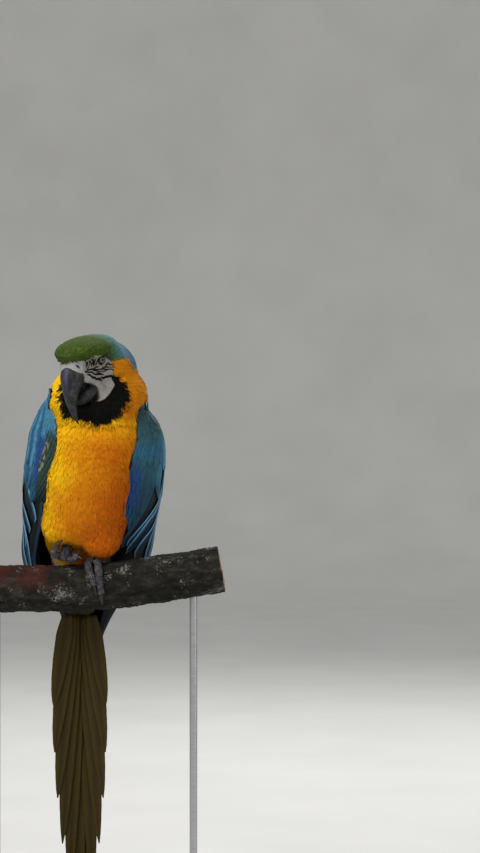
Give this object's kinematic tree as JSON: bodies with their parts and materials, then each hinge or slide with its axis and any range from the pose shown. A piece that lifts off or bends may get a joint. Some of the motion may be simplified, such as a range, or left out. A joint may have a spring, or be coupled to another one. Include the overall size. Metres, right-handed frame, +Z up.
{
  "type": "blue-and-yellow macaw on a perch",
  "caption": "Life-size still model of a perched blue-and-yellow macaw, head turned aside, gripping a cut length of branch on a plain display stand.",
  "frame": {"origin": "middle of the flat underside of the display stand's base", "axes": "+Z up, -Y the way the bird's breast faces, +X to the bird's left"},
  "size_m": [0.35, 0.25, 0.8492],
  "materials": {
    "crown_feathers": "soft matt green feathers",
    "neck_feathers": "soft orange-yellow feathers",
    "breast_feathers": "soft orange-yellow feathers",
    "back_feathers": "satin blue feathers",
    "wing_coverts": "satin teal-blue feathers",
    "flight_feathers": "satin deep blue feathers with black inner webs",
    "tail_feathers": "satin, blue above and olive-yellow below",
    "bill": "satin black horn",
    "eye": "wet pale yellow iris, black pupil",
    "foot": "scaly dark grey skin",
    "claw": "satin black horn",
    "bark": "rough dark bark with pale lichen",
    "stand_base": "satin dark stained wood",
    "stand_rod": "brushed"
  },
  "bodies": {
    "root": {"back": "back_feathers", "belly": "breast_feathers", "bill_lower": "bill", "bill_upper": "bill", "breast": "breast_feathers", "eye_left": "eye", "eye_right": "eye", "head": "crown_feathers", "left_claw_inner_back": "claw", "left_claw_inner_front": "claw", "left_claw_outer_back": "claw", "left_claw_outer_front": "claw", "left_toe_inner_back": "foot", "left_toe_inner_front": "foot", "left_toe_outer_back": "foot", "left_toe_outer_front": "foot", "leg_left": "foot", "leg_right": "foot", "neck": "neck_feathers", "perch": "bark", "right_claw_inner_back": "claw", "right_claw_inner_front": "claw", "right_claw_outer_back": "claw", "right_claw_outer_front": "claw", "right_toe_inner_back": "foot", "right_toe_inner_front": "foot", "right_toe_outer_back": "foot", "right_toe_outer_front": "foot", "stand_base": "stand_base", "stand_rod_left": "stand_rod", "stand_rod_right": "stand_rod", "tail_feather_left_1": "tail_feathers", "tail_feather_left_2": "tail_feathers", "tail_feather_left_3": "tail_feathers", "tail_feather_left_4": "tail_feathers", "tail_feather_left_5": "tail_feathers", "tail_feather_left_6": "tail_feathers", "tail_feather_right_1": "tail_feathers", "tail_feather_right_2": "tail_feathers", "tail_feather_right_3": "tail_feathers", "tail_feather_right_4": "tail_feathers", "tail_feather_right_5": "tail_feathers", "tail_feather_right_6": "tail_feathers", "thigh_left": "breast_feathers", "thigh_right": "breast_feathers", "wing_left_coverts": "wing_coverts", "wing_left_primaries": "flight_feathers", "wing_left_secondaries": "wing_coverts", "wing_right_coverts": "wing_coverts", "wing_right_primaries": "flight_feathers", "wing_right_secondaries": "wing_coverts"}
  },
  "joints": []
}
